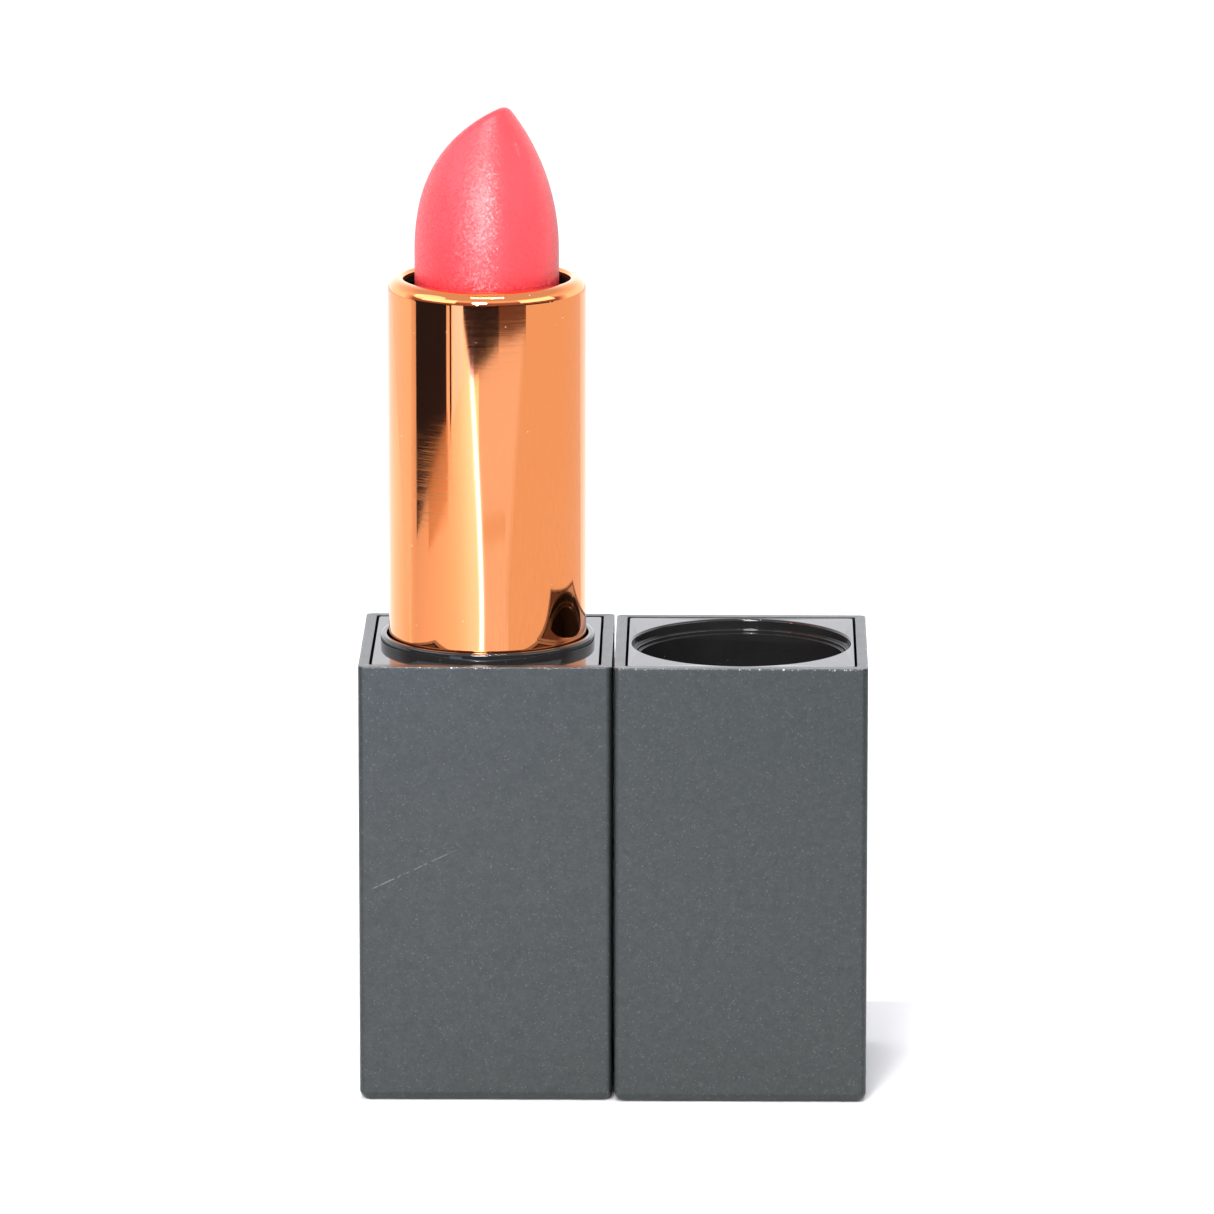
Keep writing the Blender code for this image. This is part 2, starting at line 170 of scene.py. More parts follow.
class Surface:
    """A closed surface built from rings of points. A ring carries how worn it is, from 0 to 1."""

    def __init__(self, name):
        self.name = name
        self.mesh_data = bmesh.new()
        self.wear = self.mesh_data.verts.layers.float.new("wear")

    def ring(self, points, wear=0.0):
        made = [self.mesh_data.verts.new(point) for point in points]
        for vert in made:
            vert[self.wear] = wear
        return made

    def skin(self, rings):
        """Joins each ring to the next with a band of quads, and returns the rings."""
        for lower, upper in zip(rings, rings[1:]):
            for i in range(len(lower)):
                j = (i + 1) % len(lower)
                self.mesh_data.faces.new((lower[i], lower[j], upper[j], upper[i]))
        return rings

    def turn(self, profile, centre=(0.0, 0.0), segments=TURNED_SEGMENTS):
        """Rings turned from (radius, height) points, skinned. Returns them all."""
        return self.skin([self.ring(circle(r, h, centre, segments)) for r, h in profile])

    def close(self, ring):
        self.mesh_data.faces.new(ring)

    def fill(self, *rings):
        """Fills the flat area inside the first ring and outside the others."""
        edges = []
        for ring in rings:
            for i, vert in enumerate(ring):
                pair = (vert, ring[(i + 1) % len(ring)])
                edges.append(self.mesh_data.edges.get(pair) or self.mesh_data.edges.new(pair))
        bmesh.ops.triangle_fill(
            self.mesh_data, use_beauty=True, use_dissolve=False, edges=edges, normal=(0.0, 0.0, 1.0)
        )

    def finish(self, material, body, slot, replaced=(), even_normals=False):
        """The finished piece, in metres, riding on its body."""
        bmesh.ops.scale(self.mesh_data, vec=(MM, MM, MM), verts=self.mesh_data.verts)
        bmesh.ops.recalc_face_normals(self.mesh_data, faces=self.mesh_data.faces)
        mesh = bpy.data.meshes.new(self.name)
        self.mesh_data.to_mesh(mesh)
        self.mesh_data.free()
        mesh.shade_smooth()
        mesh.set_sharp_from_angle(angle=SHARP_ANGLE)
        piece = put(self.name, mesh, material)
        if even_normals:
            weighted = piece.modifiers.new("even_normals", "WEIGHTED_NORMAL")
            weighted.keep_sharp = True
            weighted.weight = FACE_AREA_WEIGHT
        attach(piece, body)
        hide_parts(*replaced)
        return piece


# ---------------------------------------------------------------- pieces


class Place:
    """Where a CAD node stands: its centre, half width and heights, in millimetres."""

    def __init__(self, node):
        low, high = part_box(node)
        self.centre = ((low.x + high.x) / 2 / MM, (low.y + high.y) / 2 / MM)
        self.half = (high.x - low.x) / 2 / MM
        self.bottom = low.z / MM
        self.top = high.z / MM


def shell(name, node, body, material, has_label_recess):
    """A square cup: foot, sides, broken rim edge, cavity and floor."""
    place = Place(node)
    surface = Surface(name)
    cavity = place.half - SHELL_WALL

    def square(half, height, corner, wear=0.0):
        return surface.ring(rounded_square(half, height, corner, place.centre), wear)

    rings = []
    if has_label_recess:
        for height in (LABEL_RECESS_DEPTH, 0.0):
            rings.append(square(LABEL_RECESS_HALF, place.bottom + height, LABEL_CORNER))
    break_cos = math.cos(math.radians(FOOT_BREAK))
    break_sin = math.sin(math.radians(FOOT_BREAK))
    for step in range(FOOT_STEPS + 1):
        angle = math.radians(90 + (FOOT_BREAK - 90) * step / FOOT_STEPS)
        inset = FOOT_INSET * (1 - math.cos(angle) / break_cos)
        height = FOOT_HEIGHT * (1 - math.sin(angle)) / (1 - break_sin)
        rings.append(square(place.half - inset, place.bottom + height, SHELL_CORNER))
    rings.append(square(place.half, place.top - WEAR_DEPTH, SHELL_CORNER))
    for edge, height in arc((-RIM_EDGE, -RIM_EDGE), RIM_EDGE, 0, 90):
        rings.append(square(place.half + edge, place.top + height, SHELL_CORNER + edge, 1.0))
    rings.append(square(place.half - WEAR_DEPTH, place.top, SHELL_CORNER / 2))
    for edge, height in arc((CAVITY_EDGE, -CAVITY_EDGE), CAVITY_EDGE, 90, 180):
        rings.append(square(cavity + edge, place.top + height, CAVITY_CORNER, CAVITY_WEAR))
    rings.append(square(cavity, place.bottom + SHELL_FLOOR, CAVITY_CORNER))
    surface.skin(rings)
    surface.close(rings[0])
    surface.close(rings[-1])
    return surface.finish(material, body, "case_lacquer", [node], even_normals=True)


def moulding(name, node, body, material, inside):
    """A flush square plate with magnet pockets under it. The function passed as inside makes what lies in the
    plate's round hole, and returns that hole's top and bottom rings."""
    place = Place(node)
    surface = Surface(name)
    top = plate_top(body)
    underside = top - PLATE_THICK
    sides = [surface.ring(rounded_square(place.half, underside, PLATE_CORNER, place.centre))]
    for edge, height in arc((-PLATE_EDGE, -PLATE_EDGE), PLATE_EDGE, 0, 90):
        corner = PLATE_CORNER + edge
        points = rounded_square(place.half + edge, top + height, corner, place.centre)
        sides.append(surface.ring(points))
    surface.skin(sides)
    upper, lower = inside(surface, place, underside)
    pockets = []
    for sx, sy in ((1, 1), (-1, 1), (-1, -1), (1, -1)):
        spot = (place.centre[0] + sx * POCKET_OFFSET, place.centre[1] + sy * POCKET_OFFSET)
        profile = [(POCKET_RADIUS, underside), (POCKET_RADIUS, POCKET_TOP)]
        pocket = surface.turn(profile, spot, POCKET_SEGMENTS)
        surface.close(pocket[-1])
        pockets.append(pocket[0])
    surface.fill(sides[-1], upper)
    surface.fill(sides[0], lower, *pockets)
    return surface.finish(material, body, "black_moulding", [node], even_normals=True)


def plate_top(body):
    """How high a moulding's plate stands, just under its shell's rim."""
    shell_node = {"base": "base_shell", "cap": "cap_shell"}[body]
    return Place(shell_node).top - PLATE_DROP


def collar_profile():
    """From the collar's foot, over its round top and down the socket, the web and the weight chamber."""
    top = plate_top("base")
    collar_top = Place("base_insert").top
    profile = [(COLLAR_RADIUS, top)]
    profile += arc((COLLAR_RADIUS - COLLAR_EDGE, collar_top - COLLAR_EDGE), COLLAR_EDGE, 0, 90)
    inner_edge = COLLAR_EDGE / 2
    profile += arc((COLLAR_BORE + inner_edge, collar_top - inner_edge), inner_edge, 90, 180)
    profile += [
        (COLLAR_BORE, SOCKET_SHELF),
        (SOCKET_BORE, SOCKET_SHELF),
        (SOCKET_BORE, SOCKET_BOTTOM),
        (WEB_HOLE, SOCKET_BOTTOM),
        (WEB_HOLE, CHAMBER_TOP),
        (CHAMBER_BORE, CHAMBER_TOP),
        (CHAMBER_BORE, SLEEVE_BOTTOM),
        (SLEEVE_RADIUS, SLEEVE_BOTTOM),
    ]
    return profile


def mouth_profile():
    """The cap's mouth: a rolled lip, a wall, two fine ledges, and the closed bore."""
    top = plate_top("cap")
    ledge = top - MOUTH_DEPTH
    lower = top - LEDGE_DEPTH
    profile = arc((MOUTH_RADIUS + MOUTH_LIP, top - MOUTH_LIP), MOUTH_LIP, 90, 180, MOUTH_STEPS)
    profile.append((MOUTH_RADIUS, ledge))
    profile += arc((LEDGE_RADIUS + LEDGE_EDGE, ledge - LEDGE_EDGE), LEDGE_EDGE, 90, 180)
    profile.append((LEDGE_RADIUS, lower))
    profile += arc((BORE_RADIUS + LEDGE_EDGE, lower - LEDGE_EDGE), LEDGE_EDGE, 60, 180)
    profile += arc((BORE_RADIUS - BORE_ROUND, BORE_FLOOR + BORE_ROUND), BORE_ROUND, 0, -90)
    return profile


def socket(surface, place, underside):
    """The base's round inside, open from the collar down to the foot of its sleeve."""
    rings = surface.turn(collar_profile() + [(SLEEVE_RADIUS, underside)], place.centre)
    return rings[0], rings[-1]


def bore(surface, place, underside):
    """The cap's round inside: its bore is closed by a floor, and its sleeve's outside by an end."""
    rings = surface.turn(mouth_profile(), place.centre)
    surface.close(rings[-1])
    sleeve = surface.turn([(SLEEVE_RADIUS, SLEEVE_BOTTOM), (SLEEVE_RADIUS, underside)], place.centre)
    surface.close(sleeve[0])
    return rings[0], sleeve[-1]


def metal_tube(material):
    """A turned wall whose top rolls inward and down to a lip."""
    place = Place("tube")
    surface = Surface("metal_tube")
    radius, foot, top = place.half, place.bottom, place.top
    crest = radius - RIM_ROUND
    lip = crest - RIM_OPENING
    inner = radius - TUBE_WALL
    profile = arc((radius - FOOT_EDGE, foot + FOOT_EDGE), FOOT_EDGE, -90, 0)
    profile += arc((crest, top - RIM_ROUND), RIM_ROUND, 0, 90, RIM_STEPS)
    profile += arc((crest, top - lip), lip, 90, 180, LIP_STEPS)[1:]
    profile.append((RIM_OPENING, top - CURL_DEPTH))
    profile.append((crest, top - CURL_DEPTH))
    profile += arc((crest, top - RIM_ROUND), RIM_ROUND - TUBE_WALL, 90, 0, CURL_STEPS)
    profile.append((inner, foot))
    rings = surface.turn(profile)
    surface.skin([rings[-1], rings[0]])
    return surface.finish(material, "tube", "rose_gold", ["tube"], even_normals=True)


def smooth_max(a, b, blend):
    """The greater of two distances, rounded over where they are close."""
    overlap = max(blend - abs(a - b), 0.0) / blend
    return max(a, b) + overlap * overlap * blend / 4


def bullet_distance(point, radius, tip):
    """Signed distance to the bullet's ogive and cylinder, cut by its slanted face."""
    across = math.hypot(point.x, point.y)
    above = point.z - tip
    if above > -OGIVE_START:
        ogive = math.hypot(across - radius + OGIVE_RADIUS, above + OGIVE_START) - OGIVE_RADIUS
    else:
        ogive = across - radius
    along = point.x * math.cos(CUT_TURN) - point.y * math.sin(CUT_TURN)
    cut = math.hypot(along - CUT_CENTRE[0], above - CUT_CENTRE[1]) - CUT_RADIUS
    return smooth_max(ogive, cut, CUT_BLEND)


def bullet_point(core, direction, radius, tip):
    """Where the ray from the core leaves the bullet, by bisection."""
    near, far = 0.0, 4 * radius
    for _ in range(BISECTIONS):
        middle = (near + far) / 2
        if bullet_distance(core + direction * middle, radius, tip) < 0:
            near = middle
        else:
            far = middle
    return core + direction * near


def wax_bullet(material):
    """Rings up the straight stem, then rings of rays that close in on the tip."""
    place = Place("lipstick_bullet")
    radius = place.half
    tip = BULLET_TIP
    core = Vector((0.0, 0.0, tip - OGIVE_START))
    to_tip = (Vector((TIP_OFFSET, 0.0, tip)) - core).normalized()
    surface = Surface("wax_bullet")
    rings = []
    foot = (radius - BULLET_FOOT_EDGE, place.bottom + BULLET_FOOT_EDGE)
    for r, h in arc(foot, BULLET_FOOT_EDGE, -90, 0):
        rings.append(surface.ring(circle(r, h, segments=BULLET_SEGMENTS)))
    for step in range(BULLET_RINGS):
        turn = math.sin(step / BULLET_RINGS * math.pi / 2)
        outward = circle(1.0 - turn, 0.0, segments=BULLET_SEGMENTS)
        directions = [(out + to_tip * turn).normalized() for out in outward]
        rings.append(surface.ring([bullet_point(core, d, radius, tip) for d in directions]))
    surface.skin(rings)
    surface.close(rings[0])
    surface.close(rings[-1])
    return surface.finish(material, "cup", "coral_lipstick", ["lipstick_bullet"])


# ---------------------------------------------------------------- materials


class Finish:
    """A material's node tree, with short calls for the nodes it is built from."""

    def __init__(self, name, **constants):
        self.material = bpy.data.materials.new(name)
        self.material.use_nodes = True
        self.tree = self.material.node_tree
        self.shader = self.tree.nodes["Principled BSDF"]
        for socket, value in constants.items():
            self.shader.inputs[socket.replace("_", " ")].default_value = value
        self.point = self.add("ShaderNodeTexCoord").outputs["Object"]

    def add(self, kind, inputs=None, **settings):
        node = self.tree.nodes.new(kind)
        for setting, value in settings.items():
            setattr(node, setting, value)
        for socket, value in (inputs or {}).items():
            if isinstance(value, bpy.types.NodeSocket):
                self.tree.links.new(value, node.inputs[socket])
            else:
                node.inputs[socket].default_value = value
        return node

    def to(self, socket, value):
        self.tree.links.new(value, self.shader.inputs[socket])

    def stretched(self, scale):
        """The object's own coordinates in millimetres, times scale along each axis."""
        return self.vector("MULTIPLY", self.point, tuple(s / MM for s in scale))

    def vector(self, operation, *values, output="Vector"):
        inputs = dict(enumerate(values))
        return self.add("ShaderNodeVectorMath", inputs, operation=operation).outputs[output]

    def scaled(self, vector, factor):
        return self.add("ShaderNodeVectorMath", {0: vector, 3: factor}, operation="SCALE").outputs[0]

    def noise(self, per_mm, detail=2.0, roughness=0.5, scale=(1, 1, 1)):
        inputs = {"Vector": self.stretched(scale), "Scale": per_mm, "Detail": detail}
        inputs["Roughness"] = roughness
        return self.add("ShaderNodeTexNoise", inputs).outputs["Fac"]

    def cells(self, per_mm, output="Color"):
        inputs = {"Vector": self.stretched((1, 1, 1)), "Scale": per_mm}
        return self.add("ShaderNodeTexVoronoi", inputs).outputs[output]

    def channel(self, colour, index=0):
        return self.add("ShaderNodeSeparateColor", {0: colour}).outputs[index]

    def span(self, value, low, high, to_low=0.0, to_high=1.0):
        """Value stretched from low..high to to_low..to_high, and held at the ends."""
        inputs = {0: value, 1: low, 2: high, 3: to_low, 4: to_high}
        return self.add("ShaderNodeMapRange", inputs).outputs[0]

    def maths(self, operation, a, b=0.0):
        return self.add("ShaderNodeMath", {0: a, 1: b}, operation=operation).outputs[0]

    def mix(self, factor, a, b):
        node = self.add("ShaderNodeMix", {"Factor": factor}, data_type="RGBA")
        for socket, value in ((node.inputs[6], a), (node.inputs[7], b)):
            if isinstance(value, bpy.types.NodeSocket):
                self.tree.links.new(value, socket)
            else:
                socket.default_value = (*value, 1.0)
        return node.outputs[2]

    def bump(self, height, strength, depth):
        """A normal from a height, with depth in millimetres."""
        inputs = {"Height": height, "Strength": strength, "Distance": depth * MM}
        return self.add("ShaderNodeBump", inputs).outputs["Normal"]

    def tilted(self, grains, amount, normal=None):
        """The surface normal, tilted its own way in each coloured grain."""
        normal = normal or self.add("ShaderNodeNewGeometry").outputs["Normal"]
        tilt = self.vector("SUBTRACT", grains, (0.5, 0.5, 0.5))
        return self.vector("NORMALIZE", self.vector("ADD", normal, self.scaled(tilt, amount)))

    def near(self, place, inner, outer):
        """1 close to a place on the surface, fading to 0 further away."""
        away = self.vector("DISTANCE", self.point, tuple(Vector(place) * MM), output="Value")
        return self.span(away, inner * MM, outer * MM, 1.0, 0.0)

    def inside_painted_shade(self):
        """Painted shade mask: 1 inside the metal tube, below its lip, and 0 on its bright outside."""
        up = self.add("ShaderNodeSeparateXYZ", {0: self.point}).outputs["Z"]
        flat = self.vector("MULTIPLY", self.point, (1, 1, 0))
        out = self.vector("LENGTH", flat, output="Value")
        masks = []
        for outer, inner, top, bottom in (LIP_SHADE, WALL_SHADE):
            across = self.span(out, outer * MM, inner * MM)
            masks.append(self.maths("MULTIPLY", across, self.span(up, top * MM, bottom * MM)))
        return self.maths("MAXIMUM", *masks)

    def scratch(self, start, end, width):
        """1 along a fine broken line between two points of the surface, fading to 0 at its edges and ends."""
        a, b = Vector(start) * MM, Vector(end) * MM
        along = (b - a).normalized()
        from_start = self.vector("SUBTRACT", self.point, tuple(a))
        distance = self.vector("DOT_PRODUCT", from_start, tuple(along), output="Value")
        aside = self.vector("DISTANCE", from_start, self.scaled(tuple(along), distance), output="Value")
        length = (b - a).length
        line = self.span(aside, width * MM, 0.0)
        begins = self.span(distance, 0.0, length * 0.1)
        ends = self.span(distance, length, length * 0.7)
        broken = self.span(self.noise(2.5, 3.0), 0.4, 0.62)
        both = self.maths("MULTIPLY", begins, ends)
        return self.maths("MULTIPLY", self.maths("MULTIPLY", line, both), broken)


LACQUER_DARK = (0.008, 0.013, 0.013)
LACQUER_LIGHT = (0.021, 0.026, 0.026)
LACQUER_FLAKE = (0.046, 0.051, 0.050)
LACQUER_WORN = (0.80, 0.80, 0.78)
# Scratches on the base's front: where each starts and ends, and its width.
MARK_COLOUR = (0.12, 0.13, 0.135)
SCRATCHES = [
    ((-9.75, -10.5, 18.0), (-2.0, -10.5, 21.7), 0.07),
    ((2.05, -10.5, 19.9), (2.45, -10.5, 19.95), 0.09),
    ((-10.35, -10.4, 27.5), (-10.3, -10.45, 28.2), 0.12),
]


def lacquer(name, scratches):
    """Matte dark lacquer with fine metal flakes, each flake tilted its own way, and worn rim edges."""
    finish = Finish(name, Metallic=0.3, Specular_IOR_Level=0.2, Coat_Weight=0.66, Coat_Roughness=0.30)
    flakes = finish.cells(9.0)
    coarse = finish.cells(3.2)
    clouds = finish.noise(1.1, 4.0, 0.6)
    grain = finish.maths("ADD", finish.channel(flakes), finish.channel(coarse))
    tone = finish.maths("ADD", finish.maths("MULTIPLY", grain, 0.36), clouds)
    colour = finish.mix(finish.span(tone, 0.45, 1.35), LACQUER_DARK, LACQUER_LIGHT)
    bright = finish.span(finish.channel(flakes, 1), 0.965, 0.985)
    colour = finish.mix(bright, colour, LACQUER_FLAKE)
    for start, end, width in scratches:
        colour = finish.mix(finish.scratch(start, end, width), colour, MARK_COLOUR)
    worn_edge = finish.add("ShaderNodeAttribute", attribute_name="wear").outputs["Fac"]
    chips = finish.span(finish.noise(5.0, 4.0, 0.7), 0.58, 0.70)
    worn = finish.maths("MULTIPLY", finish.span(worn_edge, 0.45, 1.0), chips)
    finish.to("Base Color", finish.mix(worn, colour, LACQUER_WORN))
    matte = finish.span(finish.noise(0.35, 3.0), 0.3, 0.7, 0.43, 0.50)
    finish.to("Roughness", finish.maths("SUBTRACT", matte, finish.maths("MULTIPLY", worn, 0.2)))
    finish.to("Normal", finish.tilted(flakes, 0.07))
    return finish.material


BLACK = (0.008, 0.008, 0.009)
BLACK_PALER = (0.016, 0.016, 0.015)
DUST_ON_BLACK = (0.10, 0.10, 0.10)


def gloss_moulding():
    """Polished black plastic with faint flow marks and a little dust."""
    finish = Finish("gloss_moulding", IOR=1.5)
    dust = finish.span(finish.cells(1.1, "Distance"), 0.055, 0.03)
    colour = finish.mix(finish.noise(0.5, 3.0), BLACK, BLACK_PALER)
    finish.to("Base Color", finish.mix(dust, colour, DUST_ON_BLACK))
    polish = finish.span(finish.noise(1.6, 4.0), 0.3, 0.7, 0.02, 0.05)
    finish.to("Roughness", finish.maths("ADD", polish, finish.maths("MULTIPLY", dust, 0.3)))
    finish.to("Normal", finish.bump(finish.noise(2.2, 3.0), 0.35, 0.004))
    return finish.material


# The metal: its colours, the rubbed patch on its left, and a painted shade that darkens its inside. The
# shades give the radii and heights between which the painted shade darkens the inside, at the lip and further
# down at the wall.
GOLD_RED = (0.96, 0.315, 0.112)
GOLD_YELLOW = (0.96, 0.340, 0.126)
DUST_ON_GOLD = (0.98, 0.75, 0.55)
RUBBED_AT = (-4.9, -6.6, 52.5)
RUBBED_INNER = 2.0
RUBBED_OUTER = 5.5
TUBE_PAINTED_SHADE = (0.020, 0.012, 0.010)
LIP_SHADE = (7.6, 7.4, 67.75, 67.45)
WALL_SHADE = (8.12, 8.02, 66.9, 66.6)


def rose_gold():
    """Mirror-polished rose gold with faint polishing lines round it, hair scratches, dust, and painted shade
    darkening its inside.
    """
    finish = Finish("rose_gold_mirror", Metallic=1.0)
    dust = finish.span(finish.cells(0.55, "Distance"), 0.040, 0.022)
    warm = finish.mix(finish.noise(0.12, 2.0), GOLD_RED, GOLD_YELLOW)
    # Painted shade: the inside of the tube, below its lip, is darkened in its colour.
    dark = finish.inside_painted_shade()
    finish.to("Base Color", finish.mix(dark, finish.mix(dust, warm, DUST_ON_GOLD), TUBE_PAINTED_SHADE))
    lines = finish.noise(0.9, 4.0, 0.7, scale=(0.15, 0.15, 9.0))
    polish = finish.span(lines, 0.35, 0.75, 0.025, 0.06)
    hairs = finish.span(finish.noise(3.0, 2.0, scale=(0.10, 0.10, 6.0)), 0.45, 0.66, 0.15, 1.0)
    rubbed = finish.maths("MULTIPLY", hairs, finish.near(RUBBED_AT, RUBBED_INNER, RUBBED_OUTER))
    marks = finish.maths("ADD", finish.maths("MULTIPLY", dust, 0.35), finish.maths("MULTIPLY", rubbed, 0.15))
    marks = finish.maths("ADD", marks, finish.maths("MULTIPLY", dark, 0.5))
    finish.to("Roughness", finish.maths("ADD", polish, marks))
    soft = finish.noise(0.16, 2.0, scale=(1.0, 1.0, 0.35))
    height = finish.maths("ADD", finish.maths("MULTIPLY", lines, 0.02), soft)
    finish.to("Normal", finish.bump(height, 0.5, 0.02))
    return finish.material


CORAL = (0.57, 0.019, 0.029)
CORAL_PALER = (0.63, 0.028, 0.041)
CORAL_SCUFFED = (0.80, 0.26, 0.26)
SCUFF = ((2.4, -2.6, 80.0), (3.2, -3.4, 78.2), 0.35)
RED_SCATTER = (1.0, 0.35, 0.3)


def coral_wax():
    """Satin lipstick wax with a fine pearl grain and a light scuff by the tip."""
    finish = Finish(
        "coral_wax", Subsurface_Weight=0.12, Subsurface_Scale=0.6 * MM, Specular_IOR_Level=0.75
    )
    finish.shader.inputs["Subsurface Radius"].default_value = RED_SCATTER
    pearl = finish.cells(9.0)
    clouds = finish.noise(0.3, 3.0)
    grain = finish.channel(pearl)
    tone = finish.maths("ADD", finish.maths("MULTIPLY", grain, 0.35), clouds)
    colour = finish.mix(finish.span(tone, 0.4, 1.1), CORAL, CORAL_PALER)
    scuff = finish.scratch(*SCUFF)
    finish.to("Base Color", finish.mix(scuff, colour, CORAL_SCUFFED))
    satin = finish.span(grain, 0.0, 1.0, 0.37, 0.50)
    finish.to("Roughness", finish.maths("ADD", satin, finish.maths("MULTIPLY", scuff, 0.2)))
    skin = finish.bump(finish.noise(2.5, 3.0), 0.12, 0.02)
    finish.to("Normal", finish.tilted(pearl, 0.30, skin))
    return finish.material


def moulded_plastic(name, dark, light, roughness):
    """Moulded plastic with a fine skin texture and slightly uneven colour."""
    finish = Finish(name)
    finish.to("Base Color", finish.mix(finish.noise(0.9, 4.0), dark, light))
    skin = finish.noise(6.0, 3.0)
    finish.to("Roughness", finish.span(skin, 0.3, 0.7, roughness - 0.06, roughness + 0.06))
    finish.to("Normal", finish.bump(skin, 0.3, 0.01))
    return finish.material


def turned_metal(name, dark, light, roughness):
    """Bare metal with fine lines round its axis and a few duller patches."""
    finish = Finish(name, Metallic=1.0)
    finish.to("Base Color", finish.mix(finish.noise(0.7, 4.0), dark, light))
    lines = finish.noise(1.2, 4.0, 0.7, scale=(0.3, 0.3, 8.0))
    finish.to("Roughness", finish.span(lines, 0.3, 0.7, roughness - 0.08, roughness + 0.1))
    finish.to("Normal", finish.bump(lines, 0.4, 0.01))
    return finish.material


def give(node, material):
    """A CAD node that stays on show takes a finished material in each of its slots."""
    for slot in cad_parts[node].material_slots:
        slot.material = material


# ---------------------------------------------------------------- studio


STREAKS_PER_METRE = 40.0
STREAK_SHARES = (0.35, 0.65, 0.9, 1.1)


def emitter(name, colour):
    """A glowing material for the studio, not for the object, with upright streaks."""
    material = bpy.data.materials.new(name)
    material.use_nodes = True
    tree = material.node_tree
    tree.nodes.clear()
    glow = tree.nodes.new("ShaderNodeEmission")
    place = tree.nodes.new("ShaderNodeTexCoord")
    stretch = tree.nodes.new("ShaderNodeMapping")
    stretch.inputs["Scale"].default_value = (STREAKS_PER_METRE, STREAKS_PER_METRE, 0.0)
    streaks = tree.nodes.new("ShaderNodeTexNoise")
    share = tree.nodes.new("ShaderNodeMapRange")
    for index, value in enumerate(STREAK_SHARES, start=1):
        share.inputs[index].default_value = value
    tree.links.new(place.outputs["Object"], stretch.inputs["Vector"])
    tree.links.new(stretch.outputs[0], streaks.inputs["Vector"])
    tree.links.new(streaks.outputs[0], share.inputs[0])
    tree.links.new(share.outputs[0], glow.inputs["Strength"])
    glow.inputs["Color"].default_value = (*colour, 1.0)
    output = tree.nodes.new("ShaderNodeOutputMaterial")
    tree.links.new(glow.outputs[0], output.inputs[0])
    return material


FLOOR_REACH = 1500.0
FLOOR_DROP = 0.02
FLOOR_COLOUR = (0.80, 0.80, 0.80)
# The floor's colour further out ahead and to the sides is darkened as painted shade, and behind the case it
# is whitened as painted light.
FLOOR_PAINTED_SHADE = (0.50, 0.50, 0.50)
FLOOR_PAINTED_LIGHT = (1.0, 1.0, 0.97)
FLOOR_NEAR = 90.0
FLOOR_FAR = 160.0
FIBRE_LIGHTER = 0.015


def floor():
    """A pale paper floor, just under the case, with painted shade further out ahead and to the sides, and
    painted light behind.
    """
    mesh = bpy.data.meshes.new("floor")
    reach = FLOOR_REACH * MM
    corners = [(-reach, -reach), (reach, -reach), (reach, reach), (-reach, reach)]
    mesh.from_pydata([(x, y, -FLOOR_DROP * MM) for x, y in corners], [], [(0, 1, 2, 3)])
    finish = Finish("pale_paper", Roughness=0.9, Specular_IOR_Level=0.1)
    fibre = finish.noise(0.8, 4.0)
    light = tuple(part + FIBRE_LIGHTER for part in FLOOR_COLOUR)
    along = finish.add("ShaderNodeSeparateXYZ", {0: finish.point}).outputs["Y"]
    distance = finish.vector("LENGTH", finish.point, output="Value")
    # Painted light: the floor whitens behind the case.
    painted_light_behind = finish.span(along, FLOOR_NEAR * MM, FLOOR_FAR * MM)
    paper = finish.mix(painted_light_behind, finish.mix(fibre, FLOOR_COLOUR, light), FLOOR_PAINTED_LIGHT)
    # Painted shade: the floor darkens further out ahead and to the sides.
    away = finish.span(distance, FLOOR_NEAR * MM, FLOOR_FAR * MM)
    beside = finish.span(along, 0.0, FLOOR_NEAR * MM, 1.0, 0.0)
    painted_shade_ahead = finish.maths("MULTIPLY", away, beside)
    finish.to("Base Color", finish.mix(painted_shade_ahead, paper, FLOOR_PAINTED_SHADE))
    put("floor", mesh, finish.material)


def only_reflected(made):
    """A studio card that shows in reflections only, so that it never blocks a view or casts a shadow."""
    made.visible_camera = False
    made.visible_diffuse = False
    made.visible_shadow = False
    made.visible_transmission = False


